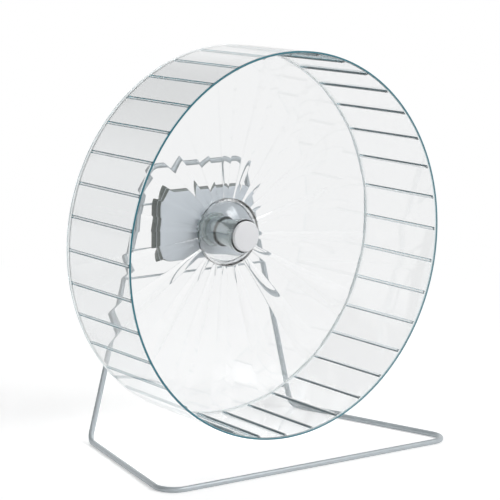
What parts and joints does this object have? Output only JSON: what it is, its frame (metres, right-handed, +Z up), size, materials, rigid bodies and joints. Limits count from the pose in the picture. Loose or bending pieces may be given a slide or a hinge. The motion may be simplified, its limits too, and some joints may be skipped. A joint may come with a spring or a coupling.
{
  "type": "rodent exercise wheel",
  "caption": "Clear open drum with moulded rungs and a pleated back wall, turning on an axle block held in a free-standing bent wire stand.",
  "frame": {"origin": "on the floor, in the middle of the stand's base, straight below the axle", "axes": "+Z up; +Y along the axle towards the axle block and the rear legs, so the open side of the drum faces -Y; +X across the wheel"},
  "size_m": [0.2804, 0.1496, 0.2942],
  "materials": {
    "clear_plastic": "polished clear moulding, edges tinted teal",
    "wire_paint": "silver-grey powder coat",
    "block_plastic": "fine satin moulding",
    "cap_plastic": "satin",
    "bush_plastic": "smooth",
    "bright_steel": "zinc plated"
  },
  "bodies": {
    "stand": {"stand_wire": "wire_paint", "upper_cross_wire": "wire_paint", "middle_cross_wire": "wire_paint", "lower_cross_wire": "wire_paint", "block_front_shell": "block_plastic", "block_rear_shell": "block_plastic", "clamp_plate": "bright_steel", "clamp_screws": "bright_steel", "axle": "bright_steel", "thrust_washer": "bright_steel", "axle_end_washer": "bright_steel", "axle_end_screw": "bright_steel"},
    "wheel": {"running_drum": "clear_plastic", "back_wall": "clear_plastic", "hub_cone": "clear_plastic", "hub_tube": "block_plastic", "rear_bush": "bush_plastic", "front_bush": "bush_plastic", "front_cap": "cap_plastic"}
  },
  "joints": [
    {"name": "wheel_spin", "type": "hinge", "parent": "stand", "child": "wheel", "pos_m": [0, 0.0333, 0.154], "axis": [0, 1, 0], "continuous": true}
  ]
}
